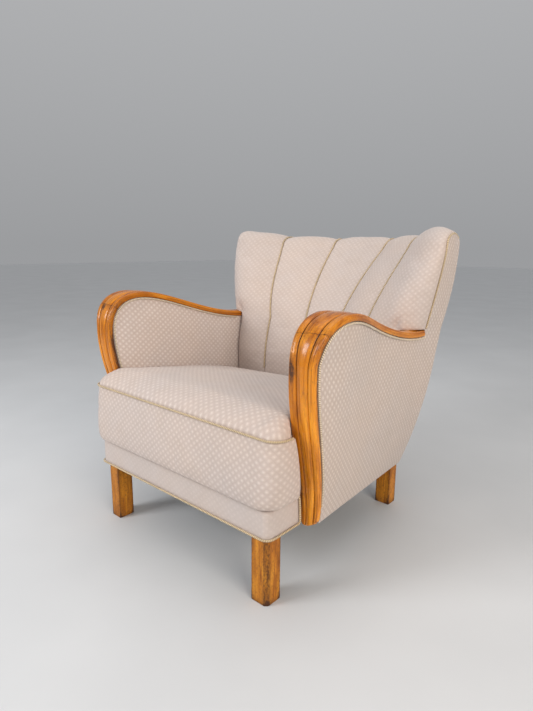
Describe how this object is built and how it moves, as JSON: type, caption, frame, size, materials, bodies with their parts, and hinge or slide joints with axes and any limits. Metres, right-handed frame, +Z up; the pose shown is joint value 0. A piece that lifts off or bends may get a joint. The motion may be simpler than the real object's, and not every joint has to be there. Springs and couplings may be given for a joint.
{
  "type": "lounge chair",
  "caption": "Low upholstered wing lounge chair with a fluted fan back, sprung seat, bowed reeded hardwood arms and square wooden legs.",
  "frame": {"origin": "on the floor under the middle of the chair's box", "axes": "+Z up, front of the chair towards -Y, +X towards the sitter's left"},
  "size_m": [0.798, 0.8992, 0.8145],
  "materials": {
    "show_wood": "glossy clear varnish, honey orange with darker streaks and wear",
    "frame_wood": "planed hardwood without finish",
    "steel": "plain dull wire and screws",
    "hessian": "coarse open jute weave",
    "fabric": "soft matt weave with a small raised lozenge pattern",
    "apron_fabric": "the same cloth with a flatter, finer weave",
    "piping": "matt olive beige corded piping",
    "black_cloth": "thin black lining cloth"
  },
  "bodies": {
    "root": {"front_leg_left": "show_wood", "front_leg_right": "show_wood", "rear_leg_left": "show_wood", "rear_leg_right": "show_wood", "front_rail": "frame_wood", "rear_rail": "frame_wood", "side_rail_left": "frame_wood", "side_rail_right": "frame_wood", "corner_blocks": "frame_wood", "corner_screws": "steel", "arm_post_left": "frame_wood", "arm_post_right": "frame_wood", "arm_rail_left": "frame_wood", "arm_rail_right": "frame_wood", "arm_bolts": "steel", "back_post_left": "frame_wood", "back_post_right": "frame_wood", "back_lower_rail": "frame_wood", "back_top_rail": "frame_wood", "arm_upright_left": "show_wood", "arm_upright_right": "show_wood", "arm_rest_left": "show_wood", "arm_rest_right": "show_wood", "seat_webbing": "hessian", "seat_springs": "steel", "seat_hessian": "hessian", "seat_stuffing": "hessian", "seat_cushion": "fabric", "front_border": "fabric", "apron_band": "apron_fabric", "seat_piping": "piping", "apron_piping": "piping", "inner_arm_left": "fabric", "inner_arm_right": "fabric", "side_panel_left": "fabric", "side_panel_right": "fabric", "arm_piping_left": "piping", "arm_piping_right": "piping", "back_webbing": "hessian", "back_flute_1": "fabric", "back_flute_2": "fabric", "back_flute_3": "fabric", "back_flute_4": "fabric", "back_flute_5": "fabric", "back_welts": "piping", "wing_welts": "piping", "outer_back": "fabric", "dust_cover": "black_cloth", "dust_cover_tacks": "steel"}
  },
  "joints": []
}
